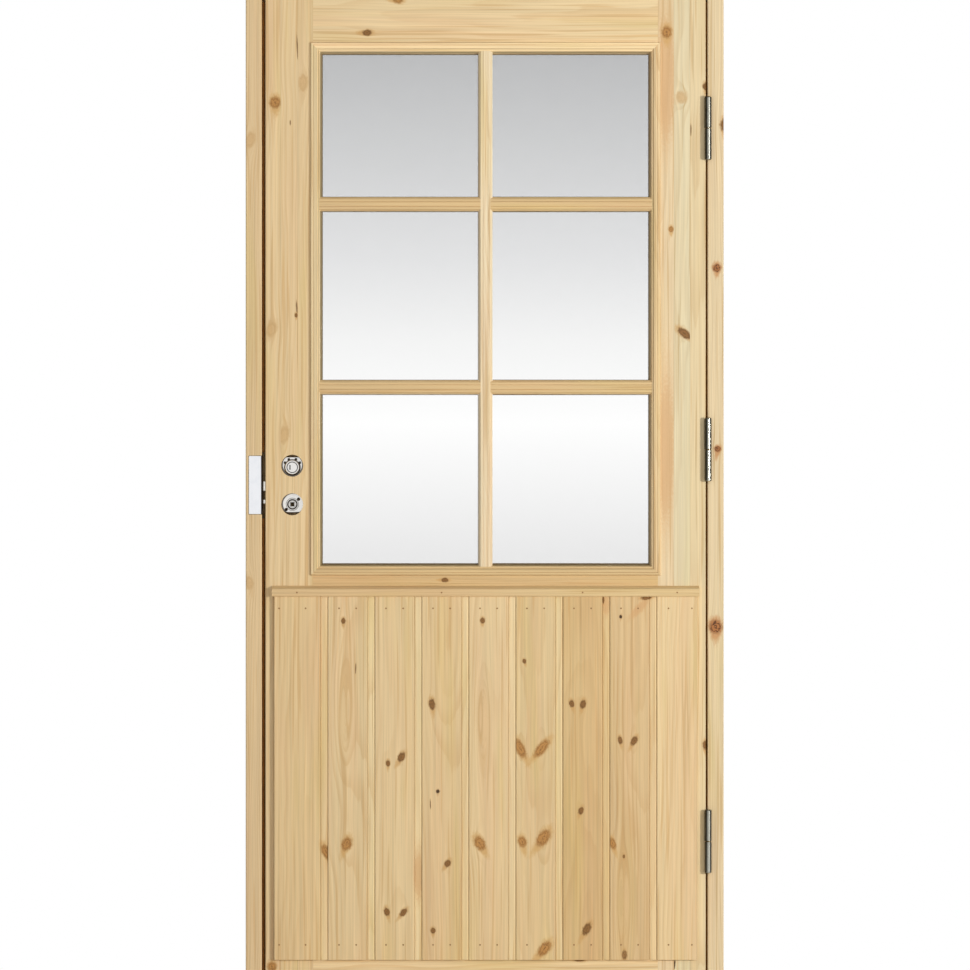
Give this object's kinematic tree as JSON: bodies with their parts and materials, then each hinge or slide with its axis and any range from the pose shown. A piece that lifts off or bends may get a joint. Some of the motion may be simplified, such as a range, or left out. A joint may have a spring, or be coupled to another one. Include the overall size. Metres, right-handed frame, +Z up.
{
  "type": "cabin door with frame",
  "caption": "Pine cabin door in its frame: glazed upper half with bars, board clad lower half, lift-off hinges and a mortise lock with open spindle and cylinder holes.",
  "frame": {"origin": "middle of the frame's underside, half way through its depth", "axes": "+Z up, outside towards -Y, hinges at +X"},
  "size_m": [0.89, 0.1055, 1.89],
  "materials": {
    "frame_pine": "planed untreated pine",
    "leaf_pine": "planed glued laminated pine",
    "cladding_pine": "planed knotty pine boards",
    "moulding_pine": "moulded clear pine",
    "panel_pine": "planed pine panel with V grooves",
    "dowel_birch": "turned birch",
    "threshold_oak": "oiled oak",
    "seal_rubber": "soft bulb seal",
    "hinge_nickel": "nickel plated steel",
    "pin_steel": "ground steel",
    "washer_brass": "turned brass",
    "lock_steel": "bright plated steel",
    "strike_steel": "bright stainless steel",
    "screw_steel": "zinc plated steel",
    "nail_steel": "galvanised steel",
    "pane_glass": "clear float glass",
    "spacer_aluminium": "perforated mill aluminium",
    "block_plastic": "moulded plastic",
    "core_foam": "expanded foam board"
  },
  "bodies": {
    "frame": {"strike_jamb": "frame_pine", "hinge_jamb": "frame_pine", "head": "frame_pine", "threshold": "threshold_oak", "weather_seal": "seal_rubber", "strike_plate": "strike_steel", "frame_hardware_screws": "screw_steel", "frame_corner_screws": "screw_steel", "frame_hinge_top": "hinge_nickel", "frame_hinge_middle": "hinge_nickel", "frame_hinge_bottom": "hinge_nickel", "hinge_pins": "pin_steel", "hinge_washers": "washer_brass"},
    "leaf": {"leaf_hardware_screws": "screw_steel", "leaf_hinge_top": "hinge_nickel", "leaf_hinge_middle": "hinge_nickel", "leaf_hinge_bottom": "hinge_nickel", "lock_stile": "leaf_pine", "hinge_stile": "leaf_pine", "top_rail": "leaf_pine", "middle_rail": "leaf_pine", "bottom_rail": "leaf_pine", "rail_dowels": "dowel_birch", "insulation_core": "core_foam", "inner_panel": "panel_pine", "cladding_board_1": "cladding_pine", "cladding_board_2": "cladding_pine", "cladding_board_3": "cladding_pine", "cladding_board_4": "cladding_pine", "cladding_board_5": "cladding_pine", "cladding_board_6": "cladding_pine", "cladding_board_7": "cladding_pine", "cladding_board_8": "cladding_pine", "cladding_board_9": "cladding_pine", "cap_strip": "cladding_pine", "cladding_nails": "nail_steel", "outer_bead_top": "moulding_pine", "outer_bead_bottom": "moulding_pine", "outer_bead_left": "moulding_pine", "outer_bead_right": "moulding_pine", "inner_bead_top": "moulding_pine", "inner_bead_bottom": "moulding_pine", "inner_bead_left": "moulding_pine", "inner_bead_right": "moulding_pine", "vertical_bar": "moulding_pine", "cross_bar_1": "moulding_pine", "cross_bar_2": "moulding_pine", "cross_bar_3": "moulding_pine", "cross_bar_4": "moulding_pine", "outer_pane": "pane_glass", "inner_pane": "pane_glass", "pane_spacer": "spacer_aluminium", "setting_blocks": "block_plastic", "lock_case": "lock_steel", "lock_faceplate": "lock_steel", "lock_cylinder": "lock_steel"},
    "latch": {"latch_bolt": "lock_steel"},
    "trigger": {"trigger_bolt": "lock_steel"},
    "hub": {"spindle_hub": "lock_steel"},
    "plug": {"cylinder_plug": "lock_steel"}
  },
  "joints": [
    {"name": "leaf_swing", "type": "hinge", "parent": "frame", "child": "leaf", "pos_m": [0.41575, -0.053, 0.945], "axis": [0, 0, 1], "range_deg": [0, 150]},
    {"name": "hub_turn", "type": "hinge", "parent": "leaf", "child": "hub", "pos_m": [-0.3585, -0.025, 0.909], "axis": [0, -1, 0], "range_deg": [-17, 34]},
    {"name": "latch_slide", "type": "slide", "parent": "leaf", "child": "latch", "axis": [-1, 0, 0], "range_m": [-0.004, 0.008]},
    {"name": "trigger_slide", "type": "slide", "parent": "leaf", "child": "trigger", "axis": [-1, 0, 0], "range_m": [-0.004, 0.006], "stiffness_N_per_m": 150, "springref_m": 0.006},
    {"name": "plug_turn", "type": "hinge", "parent": "leaf", "child": "plug", "pos_m": [-0.3585, -0.025, 0.978], "axis": [0, -1, 0], "range_deg": [-90, 90]}
  ],
  "couplings": [
    {"joint": "latch_slide", "follows": "hub_turn", "m_per_rad": 0.01348}
  ]
}
